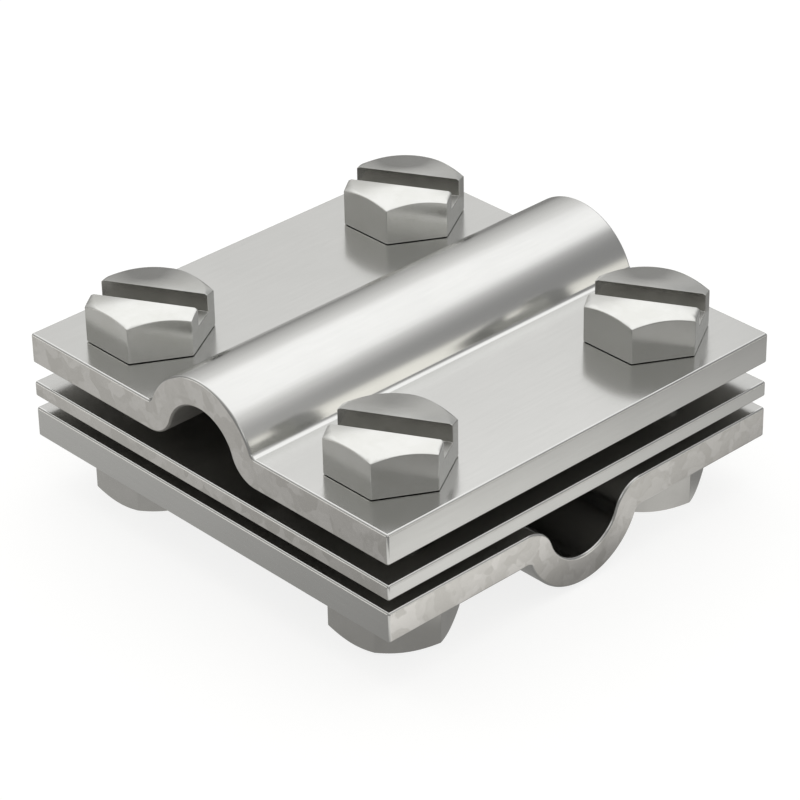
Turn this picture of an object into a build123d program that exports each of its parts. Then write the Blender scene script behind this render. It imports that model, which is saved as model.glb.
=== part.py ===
from build123d import *
from math import radians, sqrt, tan
import os

# Cross clamp block: three square plates on four bolts. The upper and the lower plate
# are the same pressed plate with a channel across it. The lower one is turned over
# and by a quarter, so the two channels cross, and a flat plate lies between them.
# Lengths are in millimetres. The part stands on its nuts, +Z up, with the upper
# channel along X and the lower channel along Y.

# Plates
plate_width = 60.0
pressed_sheet = 3.9
middle_sheet = 2.0
edge_break = 0.3

# Gaps between the plates, as the block is shown: partly drawn together
upper_gap = 2.5
lower_gap = 1.5

# Channel pressed into the upper and the lower plate
channel_radius = 5.4
channel_depth = 6.4
channel_wall = 3.6
mouth_radius = 4.0
crease_radius = 0.8

# Bolts: M8 with a slotted hexagon head
bolt_edge_distance = 9.9
thread_diameter = 8.0
bolt_length = 20.0
bolt_end_chamfer = 1.0
head_height = 5.2
washer_face_diameter = 11.6
washer_face_height = 0.15
slot_width = 3.3
slot_depth = 2.3
slot_direction = -60.0

# Nuts: M8 hexagon
nut_height = 6.5
nut_mouth_chamfer = 0.5

# Hexagons of the heads and the nuts. Their corners are turned off at an angle, down to
# a circle whose diameter is a share of the width across the flats.
across_flats = 13.0
corner_chamfer_angle = 30.0
corner_circle_share = 0.98

# Clearances, on the radius
hole_clearance = 0.5
thread_clearance = 0.05

# Heights, worked out from the sizes above
grip = 2 * pressed_sheet + middle_sheet + upper_gap + lower_gap
crown_rise = channel_depth + channel_wall - pressed_sheet
lower_plate_bottom = max(nut_height, crown_rise, bolt_length - grip)
lower_plate_top = lower_plate_bottom + pressed_sheet
middle_plate_bottom = lower_plate_top + lower_gap
upper_plate_bottom = middle_plate_bottom + middle_sheet + upper_gap
upper_plate_top = upper_plate_bottom + pressed_sheet

# The four bolts, named by the corner of the plates that each one stands in, with -X -Y in front
reach = plate_width / 2 - bolt_edge_distance
bolt_places = {
    "front": (-reach, -reach),
    "left": (-reach, reach),
    "right": (reach, -reach),
    "back": (reach, reach),
}


def channel_section():
    """Section across a pressed plate: its flat inner face lies on y = 0 and the channel rises in +y.

    The channel's inner and outer arcs share one centre. A wide rounding leads from the
    inner face into the channel, and the outside meets the sheet in a tight crease.
    """
    centre = channel_depth - channel_radius
    crown_radius = channel_radius + channel_wall
    half = plate_width / 2

    mouth_reach = channel_radius + mouth_radius
    mouth_x = sqrt(mouth_reach**2 - (mouth_radius - centre) ** 2)
    mouth_share = channel_radius / mouth_reach
    mouth_end = (mouth_x * mouth_share, centre + (mouth_radius - centre) * mouth_share)

    crease_reach = crown_radius + crease_radius
    crease_y = pressed_sheet + crease_radius
    crease_x = sqrt(crease_reach**2 - (crease_y - centre) ** 2)
    crease_share = crown_radius / crease_reach
    crease_end = (crease_x * crease_share, centre + (crease_y - centre) * crease_share)

    mouth = TangentArc((mouth_x, 0), mouth_end, tangent=(-1, 0))
    inner_arc = ThreePointArc(mouth_end, (0, channel_depth), (-mouth_end[0], mouth_end[1]))
    crease = TangentArc((crease_x, pressed_sheet), crease_end, tangent=(-1, 0))
    outer_arc = ThreePointArc(crease_end, (0, centre + crown_radius), (-crease_end[0], crease_end[1]))
    outline = [
        Line((half, pressed_sheet), (half, 0)),
        Line((half, 0), (mouth_x, 0)),
        mouth,
        inner_arc,
        mirror(mouth, about=Plane.YZ),
        Line((-mouth_x, 0), (-half, 0)),
        Line((-half, 0), (-half, pressed_sheet)),
        Line((-half, pressed_sheet), (-crease_x, pressed_sheet)),
        mirror(crease, about=Plane.YZ),
        outer_arc,
        crease,
        Line((crease_x, pressed_sheet), (half, pressed_sheet)),
    ]
    return make_face(outline)


def bolt_holes(bottom, height):
    """Four clearance holes through a plate that starts at the height bottom."""
    hole = Cylinder(
        thread_diameter / 2 + hole_clearance,
        height,
        align=(Align.CENTER, Align.CENTER, Align.MIN),
    )
    return [Pos(x, y, bottom) * hole for x, y in bolt_places.values()]


def outer_edges(blank):
    """The edges round a blank's four cut sides, without the lines where its arcs run into one another."""
    rim = plate_width / 2 - edge_break
    centres = [(edge, edge.center(CenterOf.BOUNDING_BOX)) for edge in blank.edges()]
    return [edge for edge, centre in centres if max(abs(centre.X), abs(centre.Y)) > rim]


def pressed_plate():
    """The pressed plate with its inner face on z = 0, its crown up and its channel along X."""
    blank = extrude(Plane.YZ * channel_section(), plate_width / 2, both=True)
    return chamfer(outer_edges(blank), edge_break)


def make_upper_plate():
    plate = Pos(0, 0, upper_plate_bottom) * pressed_plate()
    return plate - bolt_holes(upper_plate_bottom, pressed_sheet)


def make_lower_plate():
    turned_over = Rot(180, 0, 90) * pressed_plate()
    plate = Pos(0, 0, lower_plate_top) * turned_over
    return plate - bolt_holes(lower_plate_bottom, pressed_sheet)


def make_middle_plate():
    blank = Box(
        plate_width,
        plate_width,
        middle_sheet,
        align=(Align.CENTER, Align.CENTER, Align.MIN),
    )
    plate = Pos(0, 0, middle_plate_bottom) * chamfer(blank.edges(), edge_break)
    return plate - bolt_holes(middle_plate_bottom, middle_sheet)


def hexagon_with_turned_corners(height):
    """Hexagon standing on z = 0, with its corners turned off at the top."""
    prism = extrude(RegularPolygon(across_flats / 2, 6, major_radius=False, rotation=30), height)
    corner = across_flats / sqrt(3)
    circle = corner_circle_share * across_flats / 2
    drop = (corner - circle) * tan(radians(corner_chamfer_angle))
    outline = [(0, 0), (corner, 0), (corner, height - drop), (circle, height), (0, height)]
    turned = revolve(Plane.XZ * make_face(Polyline(*outline, close=True)), Axis.Z)
    return prism & turned


def make_bolt():
    """Bolt with its head's seat on z = 0 and its shank hanging down. The shank is the thread's outline."""
    shank_radius = thread_diameter / 2
    seat = washer_face_diameter / 2
    head = Pos(0, 0, washer_face_height) * hexagon_with_turned_corners(head_height - washer_face_height)
    stem_outline = [
        (0, washer_face_height),
        (seat, washer_face_height),
        (seat, 0),
        (shank_radius, 0),
        (shank_radius, bolt_end_chamfer - bolt_length),
        (shank_radius - bolt_end_chamfer, -bolt_length),
        (0, -bolt_length),
    ]
    stem = revolve(Plane.XZ * make_face(Polyline(*stem_outline, close=True)), Axis.Z)
    slot = Box(
        2 * across_flats,
        slot_width,
        slot_depth,
        align=(Align.CENTER, Align.CENTER, Align.MAX),
    )
    slot = Pos(0, 0, head_height) * Rot(0, 0, slot_direction) * slot
    return head + stem - slot


def make_nut():
    """Nut standing on z = 0, with its corners turned off at that end and its flat end up.

    Its bore is the thread's outline, with a chamfered mouth at each end.
    """
    bore_radius = thread_diameter / 2 + thread_clearance
    mouth = bore_radius + nut_mouth_chamfer
    outline = [
        (0, 0),
        (mouth, 0),
        (bore_radius, nut_mouth_chamfer),
        (bore_radius, nut_height - nut_mouth_chamfer),
        (mouth, nut_height),
        (0, nut_height),
    ]
    bore = revolve(Plane.XZ * make_face(Polyline(*outline, close=True)), Axis.Z)
    return Pos(0, 0, nut_height) * Rot(180, 0, 0) * hexagon_with_turned_corners(nut_height) - bore


nodes = {
    "upper_plate": make_upper_plate(),
    "middle_plate": make_middle_plate(),
    "lower_plate": make_lower_plate(),
}
bolt = make_bolt()
nut = make_nut()
for place, (x, y) in bolt_places.items():
    nodes[f"bolt_{place}"] = Pos(x, y, upper_plate_top) * bolt
    nodes[f"nut_{place}"] = Pos(x, y, lower_plate_bottom - nut_height) * nut

os.makedirs("parts", exist_ok=True)
for name, solid in nodes.items():
    solid.label = name
    export_step(solid, f"parts/{name}.step")
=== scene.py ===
# %% [markdown]
# # A cross clamp in galvanised steel
#
# The clamp has eleven pieces: two pressed plates with a channel across each, a flat plate
# between them, four M8 bolts and four nuts. The two channels cross at a right angle. The
# solids come ready from the frame. This lesson makes the finished pieces that are seen in
# their place, then their finishes, the light and the camera.

# %% The frame and its box
import bmesh
import bpy
import math
from mathutils import Matrix, Vector


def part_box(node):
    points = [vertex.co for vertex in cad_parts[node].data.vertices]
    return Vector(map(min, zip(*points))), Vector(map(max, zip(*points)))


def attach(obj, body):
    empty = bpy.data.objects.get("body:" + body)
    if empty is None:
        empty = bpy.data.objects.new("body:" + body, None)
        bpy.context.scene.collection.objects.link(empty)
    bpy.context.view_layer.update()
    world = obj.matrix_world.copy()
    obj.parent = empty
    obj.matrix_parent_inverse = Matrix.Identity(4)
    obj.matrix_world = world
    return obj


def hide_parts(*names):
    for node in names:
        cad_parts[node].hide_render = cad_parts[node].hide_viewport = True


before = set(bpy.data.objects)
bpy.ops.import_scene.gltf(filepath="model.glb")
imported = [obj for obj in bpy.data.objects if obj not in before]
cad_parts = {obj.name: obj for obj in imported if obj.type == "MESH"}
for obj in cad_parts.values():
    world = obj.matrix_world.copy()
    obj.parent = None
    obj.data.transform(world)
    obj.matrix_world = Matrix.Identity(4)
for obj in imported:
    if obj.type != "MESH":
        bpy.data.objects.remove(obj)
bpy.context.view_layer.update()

# %% [markdown]
# The sizes are those of the solids, except for the broken edges further down. Lengths are
# written in millimetres and turned into metres by one factor. The heights of the plates are
# read from the frame, so the pieces stand exactly where their solids do.

# %% The sizes of the plates
mm = 0.001
plate_width = 60 * mm
pressed_sheet = 3.9 * mm
middle_sheet = 2 * mm
bolt_reach = 20.1 * mm
hole_radius = 4.5 * mm

lower_plate_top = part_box("lower_plate")[1][2]
middle_plate_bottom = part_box("middle_plate")[0][2]
upper_plate_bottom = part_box("upper_plate")[0][2]
print("inner faces, mm:", round(lower_plate_top / mm, 2), round(upper_plate_bottom / mm, 2))

# %% [markdown]
# Node trees carry both the shapes and the finishes of this lesson. One small function adds a
# node, gives it its settings and fills its sockets: a value goes into the socket, and another
# node's output is linked to it. The functions after it start a tree of shapes, run it on an
# object and turn the result into a plain mesh.

# %% Adding a node, and running a tree of shapes
def add(tree, kind, sockets=None, **settings):
    """Adds one node with its settings. Each socket gets a value, or a link to an output."""
    node = tree.nodes.new(kind)
    for name, value in settings.items():
        setattr(node, name, value)
    for socket, value in (sockets or {}).items():
        if isinstance(value, bpy.types.NodeSocket):
            tree.links.new(value, node.inputs[socket])
        else:
            node.inputs[socket].default_value = value
    return node


def shape_tree(name, inputs):
    """A Geometry Nodes tree with a mesh in and out, and a named input for each size."""
    tree = bpy.data.node_groups.new(name, "GeometryNodeTree")
    for direction in ("INPUT", "OUTPUT"):
        tree.interface.new_socket(
            "Geometry", in_out=direction, socket_type="NodeSocketGeometry"
        )
    for label, kind in inputs.items():
        tree.interface.new_socket(label, in_out="INPUT", socket_type=kind)
    return tree, add(tree, "NodeGroupInput").outputs


def new_object(name, mesh):
    """A new object in the scene that holds this mesh."""
    body = bpy.data.objects.new(name, mesh)
    bpy.context.scene.collection.objects.link(body)
    return body


def mesh_object(name, points, faces, finish=None):
    """A new object whose mesh has these points and faces, and this finish."""
    mesh = bpy.data.meshes.new(name)
    mesh.from_pydata(points, [], faces)
    if finish:
        mesh.materials.append(finish)
    return new_object(name, mesh)


def run_tree(body, tree, values):
    """Gives the object a modifier with this tree, its inputs set by their identifiers."""
    modifier = body.modifiers.new(tree.name, "NODES")
    modifier.node_group = tree
    for item in tree.interface.items_tree:
        if item.item_type == "SOCKET" and item.in_out == "INPUT" and item.name in values:
            modifier[item.identifier] = values[item.name]


def settle(body):
    """Turns the object's modifiers into a plain mesh and returns that mesh. The object goes."""
    evaluated = body.evaluated_get(bpy.context.evaluated_depsgraph_get())
    mesh = bpy.data.meshes.new_from_object(evaluated)
    bpy.data.objects.remove(body)
    return mesh


# %% [markdown]
# The clamp is steel that was dipped in molten zinc. The zinc freezes differently on a rolled
# face, on a cut end and on a small forged part, so each gets its own finish. They are made
# first as empty materials, so that the shapes can name them. Their nodes follow further down.

# %% Names of the finishes
rolled_zinc = bpy.data.materials.new("galvanised_steel_rolled_face")
cut_zinc = bpy.data.materials.new("galvanised_steel_cut_end")
# The inner finish is a darker grey: painted shade between the plates.
inner_zinc_painted_shade = bpy.data.materials.new("galvanised_steel_inner_face_painted_shade")
bolt_zinc = bpy.data.materials.new("galvanised_steel_bolt")
# The slot's walls get darker greys: painted shade in the slot.
slot_wall_zinc_painted_shade = bpy.data.materials.new("galvanised_steel_slot_wall_painted_shade")
slot_floor_zinc = bpy.data.materials.new("galvanised_steel_slot_floor")
nut_zinc = bpy.data.materials.new("galvanised_steel_nut")
print("finishes of a plate:", rolled_zinc.name, cut_zinc.name, inner_zinc_painted_shade.name)

# %% [markdown]
# ## The pressed plates
#
# On the real clamp a press forms a channel in a sheet of steel. Seen from the end, the plate
# has one section all along: flat, a rounding, the channel's arc, a rounding and flat again.
# It could be bent from a grid with many loops, or be modelled by hand. A section that runs
# along a straight line is a rule, so here the section is drawn once, and a tree stretches it
# and drills it. The wall of the channel is a little thinner than the sheet, as drawing leaves
# it, so its inner and outer arcs share a centre but have their own roundings.

# %% The section of a pressed plate
channel_radius = 5.4 * mm
channel_wall = 3.6 * mm
channel_centre = 1 * mm
mouth_radius = 4 * mm
crease_radius = 0.8 * mm
crown_steps, mouth_steps, crease_steps = 72, 20, 10
half_width = plate_width / 2


def arc(centre, radius, start, end, steps):
    """Points on an arc from one angle to another, in radians."""
    turn = (end - start) / steps
    angles = [start + turn * step for step in range(steps + 1)]
    return [
        (centre[0] + radius * math.cos(angle), centre[1] + radius * math.sin(angle))
        for angle in angles
    ]


def section_side(radius, rounding, rounding_steps, face):
    """One face of the section from edge to edge: flat, rounding, channel, rounding, flat."""
    rise = face + rounding - channel_centre
    touch = math.asin(rise / (radius + rounding))
    foot = ((radius + rounding) * math.cos(touch), face + rounding)
    right = arc(foot, rounding, -math.pi / 2, -math.pi + touch, rounding_steps)
    crown = arc((0, channel_centre), radius, touch, math.pi - touch, crown_steps)
    left = [(-y, z) for y, z in reversed(right)]
    return [(half_width, face)] + right + crown[1:-1] + left + [(-half_width, face)]


inside = section_side(channel_radius, mouth_radius, mouth_steps, 0)
outside = section_side(
    channel_radius + channel_wall, crease_radius, crease_steps, pressed_sheet
)
pressed_section = inside + outside[::-1]
flat_section = [
    (half_width, 0),
    (-half_width, 0),
    (-half_width, middle_sheet),
    (half_width, middle_sheet),
]
print("points in the pressed section:", len(pressed_section))

# %% [markdown]
# The tree stretches a section along X and closes both ends. The four bolt holes repeat, so a
# drill is placed on the four points of a grid, and a Boolean takes all four out at once.

# %% Stretching and drilling a section
plate_tree, given = shape_tree(
    "plate_from_section",
    {
        "Width": "NodeSocketFloat",
        "Hole Spacing": "NodeSocketFloat",
        "Hole Radius": "NodeSocketFloat",
        "Inner Finish": "NodeSocketMaterial",
    },
)
drill_length = 40 * mm
drill_sides = 64
weld_distance = 0.001 * mm

stretch = add(plate_tree, "ShaderNodeCombineXYZ", {"X": given["Width"]})
extrusion = add(
    plate_tree,
    "GeometryNodeExtrudeMesh",
    {"Mesh": given["Geometry"], "Offset": stretch.outputs[0], "Individual": False},
)
near_end = add(plate_tree, "GeometryNodeFlipFaces", {"Mesh": given["Geometry"]})
blank = add(plate_tree, "GeometryNodeJoinGeometry", {0: extrusion.outputs["Mesh"]})
plate_tree.links.new(near_end.outputs[0], blank.inputs[0])
welded = add(
    plate_tree,
    "GeometryNodeMergeByDistance",
    {"Geometry": blank.outputs[0], "Distance": weld_distance},
)
hole_places = add(
    plate_tree,
    "GeometryNodeMeshGrid",
    {
        "Size X": given["Hole Spacing"],
        "Size Y": given["Hole Spacing"],
        "Vertices X": 2,
        "Vertices Y": 2,
    },
)
drill = add(
    plate_tree,
    "GeometryNodeMeshCylinder",
    {"Vertices": drill_sides, "Radius": given["Hole Radius"], "Depth": drill_length},
)
drills = add(
    plate_tree,
    "GeometryNodeInstanceOnPoints",
    {"Points": hole_places.outputs["Mesh"], "Instance": drill.outputs["Mesh"]},
)
cutters = add(plate_tree, "GeometryNodeRealizeInstances", {0: drills.outputs[0]})
drilled = add(
    plate_tree,
    "GeometryNodeMeshBoolean",
    {"Mesh 1": welded.outputs[0], "Mesh 2": cutters.outputs[0]},
    operation="DIFFERENCE",
    solver="EXACT",
)
print("nodes that shape a plate:", len(plate_tree.nodes))

# %% [markdown]
# The tree also hands out the finishes, because it knows which face is which. The ends that
# shears have cut lie at half the width from the middle. The inner face looks down before the
# plate is put in its place, and whatever is left is a rolled face.

# %% Finishes for the faces of a plate
almost_half = 0.4999  # of the width
downward = -0.05  # height of a normal's tip

position = add(plate_tree, "GeometryNodeInputPosition")
along = add(plate_tree, "ShaderNodeSeparateXYZ", {0: position.outputs[0]})
from_middle = add(plate_tree, "ShaderNodeMath", {0: along.outputs["X"]}, operation="ABSOLUTE")
end_plane = add(
    plate_tree, "ShaderNodeMath", {0: given["Width"], 1: almost_half}, operation="MULTIPLY"
)
on_end = add(
    plate_tree,
    "ShaderNodeMath",
    {0: from_middle.outputs[0], 1: end_plane.outputs[0]},
    operation="GREATER_THAN",
)
normal = add(plate_tree, "GeometryNodeInputNormal")
leaning = add(plate_tree, "ShaderNodeSeparateXYZ", {0: normal.outputs[0]})
looks_down = add(
    plate_tree, "ShaderNodeMath", {0: leaning.outputs["Z"], 1: downward}, operation="LESS_THAN"
)
realized = add(plate_tree, "GeometryNodeRealizeInstances", {0: drilled.outputs[0]})
rolled = add(
    plate_tree,
    "GeometryNodeSetMaterial",
    {"Geometry": realized.outputs[0], "Material": rolled_zinc},
)
inner = add(
    plate_tree,
    "GeometryNodeSetMaterial",
    {
        "Geometry": rolled.outputs[0],
        "Selection": looks_down.outputs[0],
        "Material": given["Inner Finish"],
    },
)
sheared = add(
    plate_tree,
    "GeometryNodeSetMaterial",
    {"Geometry": inner.outputs[0], "Selection": on_end.outputs[0], "Material": cut_zinc},
)
add(plate_tree, "NodeGroupOutput", {0: sheared.outputs[0]})
print("nodes in the plate's tree:", len(plate_tree.nodes))

# %% [markdown]
# Sheared and galvanised edges are never sharp: the burr is broken, and the zinc rounds what
# is left. A Bevel with one segment draws the broken edge as a flat chamfer, a little narrower
# than in the solids, and a second one rounds the chamfer's own two edges. The light then runs
# along each edge as two thin bright lines with a darker one between them. A Weighted Normal
# keeps the large faces flat in the light while the small roundings blend.

# %% Rounding the edges
edge_break = 0.22 * mm
zinc_rounding = 0.08 * mm
# The steps of the arcs turn by less than these degrees, a chamfer's edges by 45
real_edge, chamfer_edge = 40, 30


def round_edges(body, width, angle, segments):
    """Rounds every edge that turns by more than this angle, in degrees."""
    bevel = body.modifiers.new("rounded_edges", "BEVEL")
    bevel.width = width
    bevel.segments = segments
    bevel.angle_limit = math.radians(angle)
    bevel.use_clamp_overlap = False
    bevel.loop_slide = False


def keep_flat(body):
    """Shades the body smoothly, and its large faces flat."""
    for polygon in body.data.polygons:
        polygon.use_smooth = True
    body.modifiers.new("flat_faces", "WEIGHTED_NORMAL")


print("broken edge and rounding, mm:", edge_break / mm, zinc_rounding / mm)

# %% [markdown]
# Each plate is made flat on its inner face with its channel along X, as it leaves the press,
# and then put in its place. The upper plate only moves up. The lower one is the same plate
# turned over and by a quarter. The points keep their place in the sheet as an attribute,
# because the rolling streaks run along each sheet and not along the block.

# %% The three plates
def plate(name, section, inner_finish, place):
    """One finished plate: section, tree, rounded edges, and its place in the block."""
    points = [(-half_width, y, z) for y, z in section]
    body = mesh_object(name + "_blank", points, [list(range(len(points)))])
    values = {
        "Width": plate_width,
        "Hole Spacing": 2 * bolt_reach,
        "Hole Radius": hole_radius,
        "Inner Finish": inner_finish,
    }
    run_tree(body, plate_tree, values)
    formed = new_object(name, settle(body))
    round_edges(formed, edge_break, real_edge, 1)
    round_edges(formed, zinc_rounding, chamfer_edge, 2)
    keep_flat(formed)
    mesh = settle(formed)
    in_the_sheet = mesh.attributes.new("in_the_sheet", "FLOAT_VECTOR", "POINT")
    for point, vertex in zip(in_the_sheet.data, mesh.vertices):
        point.vector = vertex.co
    mesh.transform(place)
    piece = new_object(name + "_piece", mesh)
    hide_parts(name)
    print(name, "faces:", len(mesh.polygons))
    return piece


turned_over = Matrix.Rotation(math.pi / 2, 4, "Z") @ Matrix.Rotation(math.pi, 4, "X")
upper_place = Matrix.Translation((0, 0, upper_plate_bottom))
lower_place = Matrix.Translation((0, 0, lower_plate_top)) @ turned_over
middle_place = Matrix.Translation((0, 0, middle_plate_bottom))
upper_plate = plate("upper_plate", pressed_section, inner_zinc_painted_shade, upper_place)
lower_plate = plate("lower_plate", pressed_section, rolled_zinc, lower_place)
middle_plate = plate("middle_plate", flat_section, inner_zinc_painted_shade, middle_place)
for piece, body in ((upper_plate, "upper"), (lower_plate, "base"), (middle_plate, "middle")):
    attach(piece, body)

# %% [markdown]
# ## The thread
#
# An M8 thread climbs 1.25 mm in a turn. It could be cut with a screwed profile and a Boolean,
# which is slow and leaves poor faces. Instead a flat strip of mesh, one pitch high and as long
# as all the turns, is wound round the axis: each of its points gets a radius from where it
# lies between two crests. The strip's upper edge then meets its own lower edge one turn on,
# and the two are welded. The bolts and the nuts use the same tree.

# %% The strip that is wound
thread_tree, given = shape_tree(
    "wound_thread",
    {
        "Outer Radius": "NodeSocketFloat",
        "Thread Depth": "NodeSocketFloat",
        "Pitch": "NodeSocketFloat",
        "Length": "NodeSocketFloat",
        "Bottom Radius": "NodeSocketFloat",
        "Top Radius": "NodeSocketFloat",
        "Points in a Turn": "NodeSocketInt",
        "Inside a Bore": "NodeSocketBool",
        "Material": "NodeSocketMaterial",
    },
)
rows_in_a_pitch = 17
spare_turns = 2.0

length_in_turns = add(
    thread_tree, "ShaderNodeMath", {0: given["Length"], 1: given["Pitch"]}, operation="DIVIDE"
)
whole_turns = add(thread_tree, "ShaderNodeMath", {0: length_in_turns.outputs[0]}, operation="CEIL")
turns = add(
    thread_tree, "ShaderNodeMath", {0: whole_turns.outputs[0], 1: spare_turns}, operation="ADD"
)
strip_angle = add(
    thread_tree, "ShaderNodeMath", {0: turns.outputs[0], 1: 2 * math.pi}, operation="MULTIPLY"
)
columns = add(
    thread_tree,
    "ShaderNodeMath",
    {0: turns.outputs[0], 1: given["Points in a Turn"], 2: 1.0},
    operation="MULTIPLY_ADD",
)
strip = add(
    thread_tree,
    "GeometryNodeMeshGrid",
    {
        "Size X": strip_angle.outputs[0],
        "Size Y": given["Pitch"],
        "Vertices X": columns.outputs[0],
        "Vertices Y": rows_in_a_pitch,
    },
)
print("nodes that make the strip:", len(thread_tree.nodes))

# %% [markdown]
# On the strip, X is the angle and Y the place within the pitch. A point climbs by one pitch
# for each turn of its angle. The strip starts and ends outside the thread, and what is
# outside is pressed flat onto the end planes, so each end closes in a true circle.

# %% How high each point lies
strip_place = add(thread_tree, "GeometryNodeInputPosition")
on_strip = add(thread_tree, "ShaderNodeSeparateXYZ", {0: strip_place.outputs[0]})
turned = add(
    thread_tree, "ShaderNodeMath", {0: on_strip.outputs["X"], 1: 2 * math.pi}, operation="DIVIDE"
)
climb = add(
    thread_tree,
    "ShaderNodeMath",
    {0: turned.outputs[0], 1: given["Pitch"], 2: on_strip.outputs["Y"]},
    operation="MULTIPLY_ADD",
)
top_plane = add(thread_tree, "ShaderNodeMath", {0: given["Length"], 1: 0.5}, operation="MULTIPLY")
bottom_plane = add(
    thread_tree, "ShaderNodeMath", {0: top_plane.outputs[0], 1: -1.0}, operation="MULTIPLY"
)
height = add(
    thread_tree,
    "ShaderNodeClamp",
    {"Value": climb.outputs[0], "Min": bottom_plane.outputs[0], "Max": top_plane.outputs[0]},
)
print("nodes so far:", len(thread_tree.nodes))

# %% [markdown]
# A metric thread has a flat crest an eighth of the pitch wide and a flat root a quarter of it
# wide, with straight flanks between. So the radius follows from how far a point lies from the
# nearest crest: up to a sixteenth of a pitch it is full, and from three eighths on it is cut
# to the thread's depth.

# %% How far out the profile lies
crest_ends = 1 / 16
root_starts = 3 / 8

height_in_pitches = add(
    thread_tree, "ShaderNodeMath", {0: height.outputs[0], 1: given["Pitch"]}, operation="DIVIDE"
)
from_a_crest = add(
    thread_tree,
    "ShaderNodeMath",
    {0: height_in_pitches.outputs[0], 1: turned.outputs[0]},
    operation="SUBTRACT",
)
from_nearest_crest = add(
    thread_tree, "ShaderNodeMath", {0: from_a_crest.outputs[0], 1: 0.5}, operation="PINGPONG"
)
share_of_depth = add(
    thread_tree,
    "ShaderNodeMapRange",
    {"Value": from_nearest_crest.outputs[0], "From Min": crest_ends, "From Max": root_starts},
)
cut_away = add(
    thread_tree,
    "ShaderNodeMath",
    {0: share_of_depth.outputs[0], 1: given["Thread Depth"]},
    operation="MULTIPLY",
)
profile_radius = add(
    thread_tree,
    "ShaderNodeMath",
    {0: given["Outer Radius"], 1: cut_away.outputs[0]},
    operation="SUBTRACT",
)
print("nodes so far:", len(thread_tree.nodes))

# %% [markdown]
# Both ends are turned off at 45 degrees. On a bolt the cone closes towards the end, and the
# smaller radius counts. The thread in a nut is the shape of the plug that is taken out of it,
# so there the cone opens towards the end, and the larger radius counts.

# %% The ends of the thread
to_bottom = add(
    thread_tree, "ShaderNodeMath", {0: height.outputs[0], 1: top_plane.outputs[0]}, operation="ADD"
)
to_top = add(
    thread_tree,
    "ShaderNodeMath",
    {0: top_plane.outputs[0], 1: height.outputs[0]},
    operation="SUBTRACT",
)
radii = []
for slope, stricter in (("ADD", "MINIMUM"), ("SUBTRACT", "MAXIMUM")):
    bottom_cone = add(
        thread_tree,
        "ShaderNodeMath",
        {0: given["Bottom Radius"], 1: to_bottom.outputs[0]},
        operation=slope,
    )
    top_cone = add(
        thread_tree,
        "ShaderNodeMath",
        {0: given["Top Radius"], 1: to_top.outputs[0]},
        operation=slope,
    )
    cones = add(
        thread_tree,
        "ShaderNodeMath",
        {0: bottom_cone.outputs[0], 1: top_cone.outputs[0]},
        operation=stricter,
    )
    turned_thread = add(
        thread_tree,
        "ShaderNodeMath",
        {0: profile_radius.outputs[0], 1: cones.outputs[0]},
        operation=stricter,
    )
    radii.append(turned_thread.outputs[0])
radius = add(
    thread_tree,
    "GeometryNodeSwitch",
    {"Switch": given["Inside a Bore"], "False": radii[0], "True": radii[1]},
    input_type="FLOAT",
)
print("nodes so far:", len(thread_tree.nodes))

# %% [markdown]
# Last, the cosine and the sine of each point's angle wind the strip round the axis, with its
# upper end at the origin. The edges that meet after one turn are welded, and the thread gets
# the finish that it is given.

# %% Winding the strip
wound_to = {}
for axis, operation in (("X", "COSINE"), ("Y", "SINE")):
    round_axis = add(thread_tree, "ShaderNodeMath", {0: on_strip.outputs["X"]}, operation=operation)
    out = add(
        thread_tree,
        "ShaderNodeMath",
        {0: radius.outputs[0], 1: round_axis.outputs[0]},
        operation="MULTIPLY",
    )
    wound_to[axis] = out.outputs[0]
hanging = add(
    thread_tree,
    "ShaderNodeMath",
    {0: height.outputs[0], 1: top_plane.outputs[0]},
    operation="SUBTRACT",
)
wound_place = add(thread_tree, "ShaderNodeCombineXYZ", {**wound_to, "Z": hanging.outputs[0]})
wound = add(
    thread_tree,
    "GeometryNodeSetPosition",
    {"Geometry": strip.outputs["Mesh"], "Position": wound_place.outputs[0]},
)
welded = add(
    thread_tree,
    "GeometryNodeMergeByDistance",
    {"Geometry": wound.outputs[0], "Distance": weld_distance},
)
realized = add(thread_tree, "GeometryNodeRealizeInstances", {0: welded.outputs[0]})
finished = add(
    thread_tree,
    "GeometryNodeSetMaterial",
    {"Geometry": realized.outputs[0], "Material": given["Material"]},
)
add(thread_tree, "NodeGroupOutput", {0: finished.outputs[0]})
print("nodes in the thread's tree:", len(thread_tree.nodes))

# %% [markdown]
# The tree hangs a length of thread below the origin, open at both ends. The ends are closed
# with one face each, and the thread is turned until a crest lies at a chosen height above +X.
# That keeps the bolt's crests in the nut's grooves.

# %% A closed piece of thread
pitch = 1.25 * mm
depth_in_pitches = 0.5413  # of every metric thread
thread_depth = depth_in_pitches * pitch
points_in_a_turn = 48


def close_ends(mesh):
    """Closes every open ring of the mesh with one face and turns all faces outwards."""
    form = bmesh.new()
    form.from_mesh(mesh)
    open_edges = [edge for edge in form.edges if edge.is_boundary]
    bmesh.ops.holes_fill(form, edges=open_edges, sides=0)
    bmesh.ops.recalc_face_normals(form, faces=form.faces)
    form.to_mesh(mesh)
    form.free()


def wound_thread(name, top, crest, values):
    """A closed piece of thread that ends at the height top, with a crest at another height."""
    holder = mesh_object(name, [], [])
    metric = {
        "Pitch": pitch,
        "Thread Depth": thread_depth,
        "Points in a Turn": points_in_a_turn,
    }
    run_tree(holder, thread_tree, {**metric, **values})
    mesh = settle(holder)
    close_ends(mesh)
    turn = -2 * math.pi * (crest - top + values["Length"] / 2) / pitch
    mesh.transform(Matrix.Translation((0, 0, top)) @ Matrix.Rotation(turn, 4, "Z"))
    return new_object(name, mesh)


print("depth of the thread, mm:", round(thread_depth / mm, 3))

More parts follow.
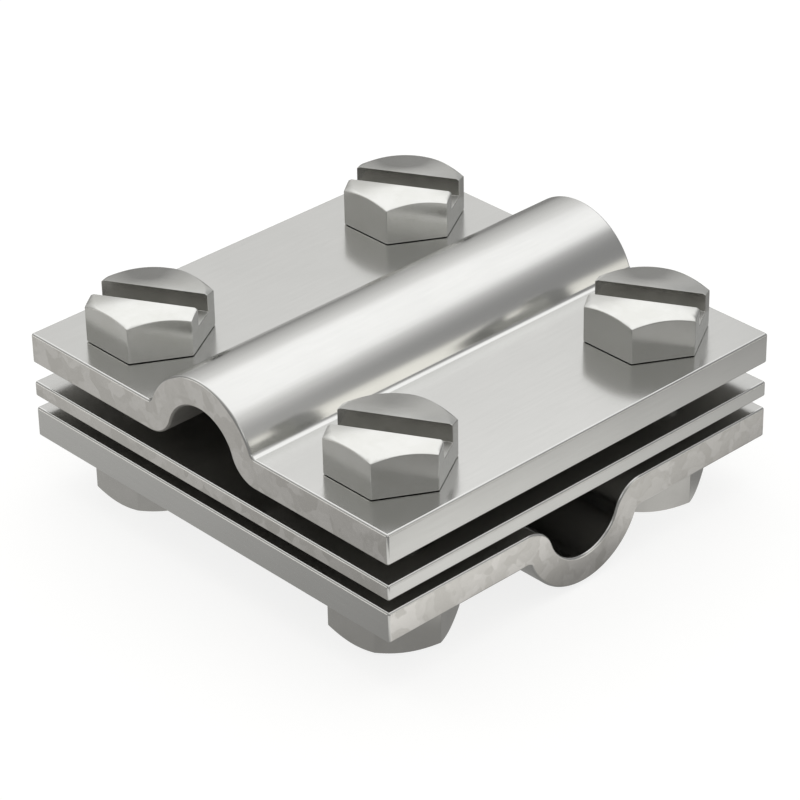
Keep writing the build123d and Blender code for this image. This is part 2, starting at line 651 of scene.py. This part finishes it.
# %% [markdown]
# ## Heads and nuts
#
# A head and a nut are hexagons whose corners are turned off at 30 degrees, which draws the
# curved line under each corner. A Boolean of a prism and a cone would give it, but leaves
# uneven faces. Rings of points give it directly: every ring goes once round, and on the
# turned part a point's height follows from how far out it lies. With 84 points in a ring, one
# lies on each corner of the hexagon, and none lies so near the slot's walls that the rounding
# of an edge would fold over.

# %% Rings of points
across_flats = 13 * mm
ring_points = 84
circle_share = 0.98  # of the width across the flats
turned_circle = circle_share * across_flats / 2
turning = math.tan(math.radians(30))


def hexagon_radius(angle):
    """How far the hexagon reaches at this angle. It has flats towards +X and every 60 degrees."""
    from_flat = (angle + math.pi / 6) % (math.pi / 3) - math.pi / 6
    return across_flats / 2 / math.cos(from_flat)


def turned_off(angle):
    """How much lower the flat side starts at this angle, because the corner is turned off."""
    return (hexagon_radius(angle) - turned_circle) * turning


def ring(radius, height):
    """A ring of points. Radius and height are numbers, or functions of the angle."""
    points = []
    for index in range(ring_points):
        angle = 2 * math.pi * index / ring_points
        reach = radius(angle) if callable(radius) else radius
        level = height(angle) if callable(height) else height
        points.append((reach * math.cos(angle), reach * math.sin(angle), level))
    return points


def stack(name, rings, finish):
    """A closed skin over rings of points, from the lowest to the highest."""
    points = [point for one in rings for point in one]
    last = len(points) - ring_points
    faces = [tuple(reversed(range(ring_points))), tuple(range(last, len(points)))]
    for below in range(0, last, ring_points):
        for index in range(ring_points):
            here, after = below + index, below + (index + 1) % ring_points
            faces.append((here, after, after + ring_points, here + ring_points))
    return mesh_object(name, points, faces, finish)


def join(body, other, operation):
    """Adds a Boolean of the body with another one."""
    step = body.modifiers.new(operation.lower(), "BOOLEAN")
    step.object = other
    step.operation = operation
    step.solver = "EXACT"


print("corner to corner, mm:", round(2 * hexagon_radius(math.pi / 6) / mm, 2))

# %% [markdown]
# The head is a closed hexagon first, with its seat at height 0. A bar cuts the screwdriver's
# slot, and then every edge is rounded by less than a tenth of a millimetre, as forging and
# zinc leave it. Under the hexagon a slightly smaller washer face touches the plate, so a thin
# dark gap shows below the head. The hexagon laps over it by a twentieth of a millimetre, so
# that the two can be joined.

# %% The head and its slot
head_height = 5.2 * mm
washer_face_height = 0.15 * mm
washer_face_radius = 5.8 * mm
lap = 0.05 * mm
slot_width = 3.3 * mm
slot_depth = 2.3 * mm
slot_direction = math.radians(-60)

head = stack(
    "bolt_head",
    [
        ring(hexagon_radius, washer_face_height - lap),
        ring(hexagon_radius, lambda angle: head_height - turned_off(angle)),
        ring(turned_circle, head_height),
    ],
    bolt_zinc,
)
bar = mesh_object(
    "slot_bar",
    [
        (x * across_flats, y * slot_width / 2, head_height + z * slot_depth)
        for x in (-1, 1)
        for y in (-1, 1)
        for z in (-1, 1)
    ],
    [(0, 1, 3, 2), (4, 6, 7, 5), (0, 4, 5, 1), (2, 3, 7, 6), (0, 2, 6, 4), (1, 5, 7, 3)],
)
bar.data.transform(Matrix.Rotation(slot_direction, 4, "Z"))
join(head, bar, "DIFFERENCE")
slotted = new_object("slotted_head", settle(head))
round_edges(slotted, zinc_rounding, real_edge, 3)
rounded = new_object("rounded_head", settle(slotted))
print("faces in a head:", len(rounded.data.polygons))

# %% [markdown]
# Later the head's flat top gets leaning normals, and a normal needs a point to lean at. So the
# top is cut into square cells, along the slot and across it. The cuts come after the rounding,
# because a Bevel makes spikes where such lines end on a rim.

# %% Cells on the head's top
slack = 0.01 * mm
cell_width = 0.8  # in millimetres
cells_each_way = 7
straight_up = 0.999  # height of a normal's tip
along_slot = Vector((math.cos(slot_direction), math.sin(slot_direction), 0))
across_slot = Vector((-math.sin(slot_direction), math.cos(slot_direction), 0))


def on_top(face):
    """True for a flat face at the height of the head's top."""
    at_the_top = face.calc_center_median().z > head_height - slack
    return face.normal.z > straight_up and at_the_top


form = bmesh.new()
form.from_mesh(rounded.data)
for direction in (along_slot, across_slot):
    for step in range(-cells_each_way, cells_each_way + 1):
        top = [face for face in form.faces if on_top(face)]
        edges = {edge for face in top for edge in face.edges}
        points = {point for face in top for point in face.verts}
        bmesh.ops.bisect_plane(
            form,
            geom=[*top, *edges, *points],
            plane_co=direction * step * cell_width * mm,
            plane_no=direction,
            dist=weld_distance,
        )
form.to_mesh(rounded.data)
form.free()
print("faces with the cells:", len(rounded.data.polygons))

# %% [markdown]
# The washer face is a low disc, and the shank is a length of thread. Both reach a little way
# up into the head, and all three are joined into one skin. That little way is chosen so that
# the seat's plane passes between the rows of the thread's points, where the cut is clean.

# %% The bolt in one skin
thread_radius = 4 * mm
bolt_length = 20 * mm
bolt_end_radius = 3 * mm
neck_radius = 3.3 * mm
overlap = 0.13 * mm

washer_face = stack(
    "washer_face",
    [
        ring(washer_face_radius, 0),
        ring(washer_face_radius, washer_face_height + overlap),
    ],
    bolt_zinc,
)
shank = wound_thread(
    "shank",
    overlap,
    0,
    {
        "Outer Radius": thread_radius,
        "Length": bolt_length + overlap,
        "Bottom Radius": bolt_end_radius,
        "Top Radius": neck_radius,
        "Inside a Bore": False,
        "Material": bolt_zinc,
    },
)
join(rounded, washer_face, "UNION")
join(rounded, shank, "UNION")
keep_flat(rounded)
bolt_mesh = settle(rounded)
for helper in (bar, washer_face, shank):
    bpy.data.objects.remove(helper)
print("faces in a bolt:", len(bolt_mesh.polygons))

# %% [markdown]
# The slot's walls are a little rougher than the rest of the head and drawn darker, which is
# painted shade in the slot, and its floor is more matt. They get finishes of their own, found
# by where the faces lie.

# %% The slot's own finishes
wall_finish, floor_finish = 1, 2
floor_faces_up = 0.7
below_floor = 0.1 * mm

bolt_mesh.materials.append(slot_wall_zinc_painted_shade)
bolt_mesh.materials.append(slot_floor_zinc)
slot_faces = 0
for face in bolt_mesh.polygons:
    between_walls = abs(face.center.dot(across_slot)) < slot_width / 2 + slack
    if between_walls and face.center.z > head_height - slot_depth - below_floor:
        face.material_index = floor_finish if face.normal.z > floor_faces_up else wall_finish
        slot_faces += 1
print("finishes of a bolt:", [finish.name for finish in bolt_mesh.materials])
print("faces in a slot:", slot_faces)

# %% [markdown]
# In the light, the top of a head is not quite flat: dies and zinc leave it a little crowned.
# That is far too slight to model as a height, so only its normals lean outwards, by up to 15
# degrees near the rim. The half that faces the light looks bright then, and the other half
# falls off to grey.

# %% The crowned look of the head's top
crown_lean = math.radians(15)
crown_full = 4.5 * mm
top_faces_up = 0.85
top_depth = 1.5 * mm

normals = [Vector(corner.vector) for corner in bolt_mesh.corner_normals]
for face in bolt_mesh.polygons:
    below_top = face.normal.z < top_faces_up or face.center.z < head_height - top_depth
    if below_top or face.material_index:
        continue
    for corner in face.loop_indices:
        point = bolt_mesh.vertices[bolt_mesh.loops[corner].vertex_index].co
        reach = point.xy.length
        if not slack <= reach <= turned_circle + slack:
            continue
        lean = crown_lean * math.sin(math.pi / 2 * min(1, reach / crown_full))
        outwards = math.sin(lean)
        normals[corner] = Vector(
            (point.x / reach * outwards, point.y / reach * outwards, math.cos(lean))
        )
bolt_mesh.normals_split_custom_set(normals)
print("crown at the rim, degrees:", round(math.degrees(crown_lean), 1))

# %% [markdown]
# All four bolts are the same, and on the real clamp any of them fits any hole. So one mesh is
# copied to the four corners of a square, and each copy rides on its own bolt's body, which
# turns and travels with the upper plate.

# %% Four bolts in their places
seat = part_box("bolt_front")[1][2] - head_height
places = {
    "front": (-bolt_reach, -bolt_reach),
    "left": (-bolt_reach, bolt_reach),
    "right": (bolt_reach, -bolt_reach),
    "back": (bolt_reach, bolt_reach),
}
for place, (x, y) in places.items():
    mesh = bolt_mesh.copy()
    mesh.transform(Matrix.Translation((x, y, seat)))
    piece = new_object(f"bolt_{place}_piece", mesh)
    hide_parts(f"bolt_{place}")
    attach(piece, f"{place}_bolt")
print("seat of the heads, mm:", round(seat / mm, 2))

# %% [markdown]
# A nut is the same hexagon, with its corners turned off at the lower end. A plug with the
# thread's shape, a twentieth of a millimetre wider, is taken out of it. The plug is longer
# than the nut and opens outwards at both ends, so it leaves the countersunk mouths that help
# a bolt to start.

# %% The nuts
nut_height = 6.5 * mm
thread_clearance = 0.05 * mm
nut_mouth_radius = 4.55 * mm
plug_overhang = 0.5 * mm

nut = stack(
    "nut",
    [
        ring(turned_circle, 0),
        ring(hexagon_radius, turned_off),
        ring(hexagon_radius, nut_height),
    ],
    nut_zinc,
)
round_edges(nut, zinc_rounding, real_edge, 3)
plug = wound_thread(
    "plug",
    nut_height + plug_overhang,
    seat % pitch,
    {
        "Outer Radius": thread_radius + thread_clearance,
        "Length": nut_height + 2 * plug_overhang,
        "Bottom Radius": nut_mouth_radius + plug_overhang,
        "Top Radius": nut_mouth_radius + plug_overhang,
        "Inside a Bore": True,
        "Material": nut_zinc,
    },
)
join(nut, plug, "DIFFERENCE")
keep_flat(nut)
nut_mesh = settle(nut)
bpy.data.objects.remove(plug)
for place, (x, y) in places.items():
    mesh = nut_mesh.copy()
    mesh.transform(Matrix.Translation((x, y, 0)))
    piece = new_object(f"nut_{place}_piece", mesh)
    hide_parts(f"nut_{place}")
    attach(piece, "base")
print("faces in a nut:", len(nut_mesh.polygons))

# %% [markdown]
# ## The finishes
#
# Colours are written the way they are picked, as sRGB hex, and one function turns them into
# the linear values that the sockets take. The finishes differ in their patterns, but each
# starts from an empty tree and ends as bare metal between two close greys, so both ends are
# written once. The metal's sheen varies only slightly, which keeps it even. Noise seldom comes
# near 0 or 1, so each pattern's middle values are stretched by a Map Range before they are used.

# %% Colours, and the start and end of a finish
def linear(hex_colour):
    """A colour written as sRGB hex, turned to linear values."""
    channels = [int(hex_colour[start : start + 2], 16) / 255 for start in (0, 2, 4)]
    return [
        value / 12.92 if value <= 0.04045 else ((value + 0.055) / 1.055) ** 2.4
        for value in channels
    ] + [1]


def start_material(material):
    """Clears a material's nodes and returns its tree."""
    material.use_nodes = True
    material.node_tree.nodes.clear()
    return material.node_tree


def zinc_surface(material, share, light, dark, roughness):
    """Ends a finish: bare zinc between a dark and a light grey by this share, this rough."""
    tree = material.node_tree
    colour = add(
        tree, "ShaderNodeMix", {0: share, 6: linear(dark), 7: linear(light)}, data_type="RGBA"
    )
    surface = add(
        tree,
        "ShaderNodeBsdfPrincipled",
        {"Base Color": colour.outputs[2], "Metallic": 1.0, "Roughness": roughness},
    )
    add(tree, "ShaderNodeOutputMaterial", {"Surface": surface.outputs[0]})
    print(material.name, "nodes:", len(tree.nodes))


sheen_spread = 0.02
print("linear value of mid grey:", round(linear("808080")[0], 3))

# %% [markdown]
# ### Hot-dip galvanised sheet, rolled face
#
# The plates are dipped in molten zinc. On the smooth rolled faces the zinc lies thin and even
# and shines like satin. What shows is a faint drift along the rolling direction: streaks about
# half a millimetre wide and twelve times as long, a little brighter or duller than their
# neighbours. They follow the plate's own coordinates, kept with its points, because the two
# pressed plates lie across one another. The faces that look down inside the block, between
# the plates, get the same pattern, almost matt and with darker values: the darker grey is
# painted shade, where little light reaches between the plates.

# %% The rolled faces
def rolled_face(material, light, dark, shine):
    """Even zinc with a faint drift along the sheet. The shine is its least roughness."""
    tree = start_material(material)
    streak_width, streak_stretch, cloud_width = 0.5 * mm, 12, 9 * mm
    where = add(tree, "ShaderNodeAttribute", attribute_name="in_the_sheet")
    stretched = add(
        tree,
        "ShaderNodeMapping",
        {"Vector": where.outputs["Vector"], "Scale": (1 / streak_stretch, 1, 1)},
    )
    streaks = add(
        tree,
        "ShaderNodeTexNoise",
        {
            "Vector": stretched.outputs[0],
            "Scale": 1 / streak_width,
            "Detail": 3.0,
            "Roughness": 0.6,
        },
    )
    clouds = add(
        tree,
        "ShaderNodeTexNoise",
        {"Vector": where.outputs["Vector"], "Scale": 1 / cloud_width, "Detail": 2.0},
    )
    both = add(
        tree, "ShaderNodeMath", {0: streaks.outputs[0], 1: clouds.outputs[0]}, operation="ADD"
    )
    share = add(
        tree, "ShaderNodeMapRange", {"Value": both.outputs[0], "From Min": 0.7, "From Max": 1.3}
    )
    roughness = add(
        tree,
        "ShaderNodeMapRange",
        {"Value": share.outputs[0], "To Min": shine + sheen_spread, "To Max": shine},
    )
    zinc_surface(material, share.outputs[0], light, dark, roughness.outputs[0])


rolled_face(rolled_zinc, "D4D4D2", "D0D0CE", 0.18)
# Darker greys for the faces between the plates: painted shade.
rolled_face(inner_zinc_painted_shade, "B6B4B0", "A9A7A3", 0.7)

# %% [markdown]
# ### Hot-dip galvanised steel, cut end
#
# Where the shears have cut the sheet, the zinc freezes in crystals, the spangle: soft patches
# about two millimetres across, each a shade lighter or darker than the next, with curved
# borders. Cells of a Voronoi pattern give the patches. Noise bends them first, and a smooth
# cell distance lets them run into one another. Finer noise, mixed in by about a third, breaks
# up each patch.

# %% The cut ends
def cut_end(material, light, dark):
    """Zinc spangle: soft patches of lighter and darker grey, with curved borders."""
    tree = start_material(material)
    bend_width, bend_by, patch_width, grain_width = 3 * mm, 5 * mm, 1.9 * mm, 1.1 * mm
    grain_share = 0.35
    where = add(tree, "ShaderNodeTexCoord")
    bend = add(
        tree,
        "ShaderNodeTexNoise",
        {"Vector": where.outputs["Object"], "Scale": 1 / bend_width, "Detail": 2.0},
    )
    centred = add(
        tree,
        "ShaderNodeVectorMath",
        {0: bend.outputs["Color"], 1: (0.5, 0.5, 0.5)},
        operation="SUBTRACT",
    )
    bent_by = add(
        tree,
        "ShaderNodeVectorMath",
        {0: centred.outputs["Vector"], "Scale": bend_by},
        operation="SCALE",
    )
    bent = add(
        tree,
        "ShaderNodeVectorMath",
        {0: where.outputs["Object"], 1: bent_by.outputs["Vector"]},
        operation="ADD",
    )
    patches = add(
        tree,
        "ShaderNodeTexVoronoi",
        {"Vector": bent.outputs["Vector"], "Scale": 1 / patch_width, "Smoothness": 0.3},
        feature="SMOOTH_F1",
    )
    shade = add(tree, "ShaderNodeSeparateColor", {0: patches.outputs["Color"]})
    grain = add(
        tree,
        "ShaderNodeTexNoise",
        {"Vector": bent.outputs["Vector"], "Scale": 1 / grain_width, "Detail": 3.0},
    )
    mixed = add(
        tree,
        "ShaderNodeMix",
        {0: grain_share, 2: shade.outputs[0], 3: grain.outputs[0]},
        data_type="FLOAT",
    )
    share = add(
        tree, "ShaderNodeMapRange", {"Value": mixed.outputs[0], "From Min": 0.25, "From Max": 0.75}
    )
    roughness = add(
        tree, "ShaderNodeMapRange", {"Value": shade.outputs[1], "To Min": 0.2, "To Max": 0.26}
    )
    zinc_surface(material, share.outputs[0], light, dark, roughness.outputs[0])


cut_end(cut_zinc, "DEDCD9", "CDCBC7")

# %% [markdown]
# ### Galvanised bolts and nuts
#
# Small parts are spun after the dip, which throws the spare zinc off. It leaves a fine, even
# skin on the forged steel, a little cloudy from face to face. The real grain, a few hundredths
# of a millimetre, is too fine to show, so it is drawn at a quarter of a millimetre. The nuts
# keep a duller skin, because the spare zinc settles there. The slot's walls are drawn darker,
# which is painted shade in the slot, and the slot's floor is more matt.

# %% The bolts, their slots and the nuts
def spun_zinc(material, light, dark, shine):
    """A fine, slightly cloudy skin of zinc. The shine is its least roughness."""
    tree = start_material(material)
    cloud_width, grain_width = 3 * mm, 0.25 * mm
    where = add(tree, "ShaderNodeTexCoord")
    clouds = add(
        tree,
        "ShaderNodeTexNoise",
        {
            "Vector": where.outputs["Object"],
            "Scale": 1 / cloud_width,
            "Detail": 3.0,
            "Roughness": 0.6,
        },
    )
    share = add(
        tree, "ShaderNodeMapRange", {"Value": clouds.outputs[0], "From Min": 0.35, "From Max": 0.65}
    )
    grain = add(
        tree,
        "ShaderNodeTexNoise",
        {"Vector": where.outputs["Object"], "Scale": 1 / grain_width, "Detail": 2.0},
    )
    roughness = add(
        tree,
        "ShaderNodeMapRange",
        {
            "Value": grain.outputs[0],
            "From Min": 0.3,
            "From Max": 0.7,
            "To Min": shine,
            "To Max": shine + sheen_spread,
        },
    )
    zinc_surface(material, share.outputs[0], light, dark, roughness.outputs[0])


spun_zinc(bolt_zinc, "D4D4D1", "CFCFCB", 0.2)
# The slot's walls: darker greys, painted shade in the slot.
spun_zinc(slot_wall_zinc_painted_shade, "A9A8A4", "9D9C98", 0.24)
spun_zinc(slot_floor_zinc, "D4D4D1", "CCCCC8", 0.5)
spun_zinc(nut_zinc, "CECDCA", "C9C8C5", 0.22)

# %% [markdown]
# ## The light
#
# Shiny metal shows what stands round it, so it is photographed in a tent of white cloth, lit
# from above and a little from behind. The tent here is a large ball that only the metal and
# the floor see. Area lamps would do as well, but their hard outlines would show in the steel.

# %% The tent
tent_radius = 0.7
tent_mesh = bpy.data.meshes.new("tent")
form = bmesh.new()
bmesh.ops.create_icosphere(form, subdivisions=5, radius=tent_radius)
form.to_mesh(tent_mesh)
form.free()
tent = new_object("tent", tent_mesh)
tent.visible_camera = False
print("faces in the tent:", len(tent_mesh.polygons))

# %% [markdown]
# The cloth is brightest overhead and falls off to grey towards the table, and this fall-off is
# what models the steel. It depends only on the angle from the brightest direction, so a colour
# ramp over the cosine of that angle draws it, with a slightly warmer tint where it is darker.

# %% The fall of the light
brightest = (20, 68)  # azimuth and elevation, in degrees
# Degrees from the brightest direction, and the brightness there
fall = (
    (90, 0.20),
    (80, 0.22),
    (73, 0.25),
    (67, 0.33),
    (60, 0.43),
    (52, 0.51),
    (45, 0.61),
    (40, 0.67),
    (36, 0.71),
    (32, 0.87),
    (26, 1),
)


def towards(azimuth, elevation):
    """The direction at this azimuth from +X and this elevation, both in degrees."""
    turn, rise = math.radians(azimuth), math.radians(elevation)
    return (
        math.cos(rise) * math.cos(turn),
        math.cos(rise) * math.sin(turn),
        math.sin(rise),
    )


cloth = bpy.data.materials.new("white_tent_cloth")
cloth_tree = start_material(cloth)
where = add(cloth_tree, "ShaderNodeTexCoord")
direction = add(
    cloth_tree, "ShaderNodeVectorMath", {0: where.outputs["Object"]}, operation="NORMALIZE"
)
overhead = add(
    cloth_tree,
    "ShaderNodeVectorMath",
    {0: direction.outputs["Vector"], 1: towards(*brightest)},
    operation="DOT_PRODUCT",
)
wall = add(cloth_tree, "ShaderNodeValToRGB", {"Fac": overhead.outputs["Value"]})
ramp = wall.color_ramp
while len(ramp.elements) < len(fall):
    ramp.elements.new(0.5)
for element, (angle, value) in zip(ramp.elements, fall):
    element.position = math.cos(math.radians(angle))
    element.color = (value, value * 0.995, value * (0.965 + 0.03 * value), 1)
print("steps in the fall:", len(ramp.elements))

# %% [markdown]
# Dark cards and white ones stand in the tent, as a photographer places them to draw a face
# darker than its neighbour. Each is a soft round patch in one direction: full within one angle
# from its middle, and gone beyond another. They are laid over the cloth one after the other.

# %% Cards in the tent
def grey(value):
    """A grey of this brightness, with no tint."""
    return [value, value, value, 1]


# Azimuth, elevation, full within, gone beyond, all in degrees, and the card's colour
tent_cards = (
    (-15, 17, 24, 38, grey(0.25)),
    (12, 24, 10, 27, grey(0.37)),
    (-38, 27, 7, 18, grey(0.24)),
    (20, 68, 22, 34, grey(1)),
    (92, 56, 16, 28, grey(1)),
    (-60, 5, 13, 18, linear("F4F2EB")),
    (140, 5, 15, 23, linear("F4F2EE")),
    (227, 31, 8, 16, grey(0.75)),
)
tent_strength = 1.38

seen = wall.outputs["Color"]
for azimuth, elevation, full, gone, colour in tent_cards:
    from_middle = add(
        cloth_tree,
        "ShaderNodeVectorMath",
        {0: direction.outputs["Vector"], 1: towards(azimuth, elevation)},
        operation="DOT_PRODUCT",
    )
    amount = add(
        cloth_tree,
        "ShaderNodeMapRange",
        {
            "Value": from_middle.outputs["Value"],
            "From Min": math.cos(math.radians(gone)),
            "From Max": math.cos(math.radians(full)),
        },
        interpolation_type="SMOOTHSTEP",
    )
    laid = add(
        cloth_tree, "ShaderNodeMix", {0: amount.outputs[0], 6: seen, 7: colour}, data_type="RGBA"
    )
    seen = laid.outputs[2]
glow = add(cloth_tree, "ShaderNodeEmission", {"Color": seen, "Strength": tent_strength})
add(cloth_tree, "ShaderNodeOutputMaterial", {"Surface": glow.outputs[0]})
cloth.cycles.emission_sampling = "NONE"
tent.data.materials.append(cloth)
print("cards in the tent:", len(tent_cards))

# %% [markdown]
# The camera looks past the tent into a plain white room, which is the background of the
# picture.

# %% The room
world = bpy.data.worlds.new("white_room")
bpy.context.scene.world = world
world.use_nodes = True
world.node_tree.nodes.clear()
room = add(world.node_tree, "ShaderNodeBackground", {"Color": linear("FFFFFF"), "Strength": 1.0})
add(world.node_tree, "ShaderNodeOutputWorld", {"Surface": room.outputs[0]})
print("background strength:", room.inputs["Strength"].default_value)

# %% [markdown]
# ## The floor
#
# The clamp stands on pale paper, which takes its shadow and fades into the white room. Steel
# mirrors the paper from very near, where noise and shadow would show as specks. So the metal
# sees a plain, even paper instead, with four soft cards lying on it round the clamp, and the
# camera sees the shaded one. It lies a fiftieth of a millimetre under the nuts, so that their
# faces don't share its plane.

# %% The floor, as the camera sees it
floor_depth = 0.02 * mm
added_white = 0.8

corners = ((-1, -1), (1, -1), (1, 1), (-1, 1))
floor = mesh_object(
    "floor",
    [(x * tent_radius, y * tent_radius, -floor_depth) for x, y in corners],
    [(0, 1, 2, 3)],
)
paper = bpy.data.materials.new("pale_floor")
paper_tree = start_material(paper)
lit = add(paper_tree, "ShaderNodeBsdfDiffuse", {"Color": linear("8E8E8C")})
ray = add(paper_tree, "ShaderNodeLightPath")
seen_through = add(
    paper_tree,
    "ShaderNodeMath",
    {0: ray.outputs["Is Camera Ray"], 1: ray.outputs["Is Transmission Ray"]},
    operation="MAXIMUM",
)
whitened = add(
    paper_tree, "ShaderNodeMath", {0: seen_through.outputs[0], 1: added_white}, operation="MULTIPLY"
)
white = add(paper_tree, "ShaderNodeEmission", {"Strength": whitened.outputs[0]})
shaded_paper = add(paper_tree, "ShaderNodeAddShader", {0: lit.outputs[0], 1: white.outputs[0]})
print("width of the floor, m:", 2 * tent_radius)

# %% [markdown]
# Each card on the floor is an oblong that fades along X from its middle, and along Y only
# outside its even share. All lengths here are in millimetres.

# %% The floor, as the metal sees it
paper_in_metal = 0.27
floor_cards = (
    {"place": (-20, -46.5), "reach": (123, 16), "even_share": 0.3, "strength": 0.64},
    {"place": (17, -29), "reach": (10, 9), "even_share": 0.3, "strength": 0.4},
    {"place": (8, -65), "reach": (28, 9), "even_share": 0.3, "strength": 0.25},
    {"place": (-60, 60), "reach": (90, 125), "even_share": 0, "strength": 0.33},
)

where = add(paper_tree, "ShaderNodeTexCoord")
brightness = paper_in_metal
for card in floor_cards:
    placed = add(
        paper_tree,
        "ShaderNodeMapping",
        {
            "Vector": where.outputs["Object"],
            "Location": (*(value * mm for value in card["place"]), 0),
            "Scale": (*(value * mm for value in card["reach"]), 1),
        },
        vector_type="TEXTURE",
    )
    away = add(paper_tree, "ShaderNodeVectorMath", {0: placed.outputs[0]}, operation="ABSOLUTE")
    sides = add(paper_tree, "ShaderNodeSeparateXYZ", {0: away.outputs["Vector"]})
    along_x = add(
        paper_tree,
        "ShaderNodeMapRange",
        {"Value": sides.outputs["X"], "From Min": 1.0, "From Max": 0.0, "To Max": card["strength"]},
        interpolation_type="SMOOTHSTEP",
    )
    along_y = add(
        paper_tree,
        "ShaderNodeMapRange",
        {"Value": sides.outputs["Y"], "From Min": 1.0, "From Max": card["even_share"]},
        interpolation_type="SMOOTHSTEP",
    )
    shape = add(
        paper_tree,
        "ShaderNodeMath",
        {0: along_x.outputs[0], 1: along_y.outputs[0]},
        operation="MULTIPLY",
    )
    laid = add(paper_tree, "ShaderNodeMath", {0: brightness, 1: shape.outputs[0]}, operation="ADD")
    brightness = laid.outputs[0]
seen_by_metal = add(
    paper_tree, "ShaderNodeEmission", {"Color": linear("FFFEFB"), "Strength": brightness}
)
shown = add(
    paper_tree,
    "ShaderNodeMixShader",
    {0: ray.outputs["Is Glossy Ray"], 1: shaded_paper.outputs[0], 2: seen_by_metal.outputs[0]},
)
add(paper_tree, "ShaderNodeOutputMaterial", {"Surface": shown.outputs[0]})
paper.cycles.emission_sampling = "NONE"
floor.data.materials.append(paper)
print("cards on the floor:", len(floor_cards))

# %% [markdown]
# ## The camera
#
# A long lens looks down on the front corner from about 31 degrees, which keeps the plates'
# edges almost parallel. Its place was fitted to the corners of the plates and of the heads.

# %% The camera
azimuth = math.radians(-42.939)
elevation = math.radians(31.0412)
roll = math.radians(-1.0334)
distance = 392.8974 * mm
aim_right, aim_up = 0.2042 * mm, -7.6813 * mm
image_width = 800
focal_length_in_pixels = 3419.7591

back = Vector(
    (
        math.sin(azimuth) * math.cos(elevation),
        -math.cos(azimuth) * math.cos(elevation),
        math.sin(elevation),
    )
)
level = Vector((math.cos(azimuth), math.sin(azimuth), 0))
upright = back.cross(level)
right = math.cos(roll) * level + math.sin(roll) * upright
up = -math.sin(roll) * level + math.cos(roll) * upright
target = aim_right * right + aim_up * up + Vector((0, 0, seat))
camera_data = bpy.data.cameras.new("camera")
camera_data.sensor_width = 36
camera_data.lens = focal_length_in_pixels * camera_data.sensor_width / image_width
camera_data.clip_start = 0.01
camera = bpy.data.objects.new("camera", camera_data)
bpy.context.scene.collection.objects.link(camera)
turn = Matrix((right, up, back)).transposed().to_4x4()
camera.matrix_world = Matrix.Translation(target + distance * back) @ turn
bpy.context.scene.camera = camera
bpy.context.scene.view_settings.view_transform = "Standard"
print("lens, mm:", round(camera_data.lens, 1))
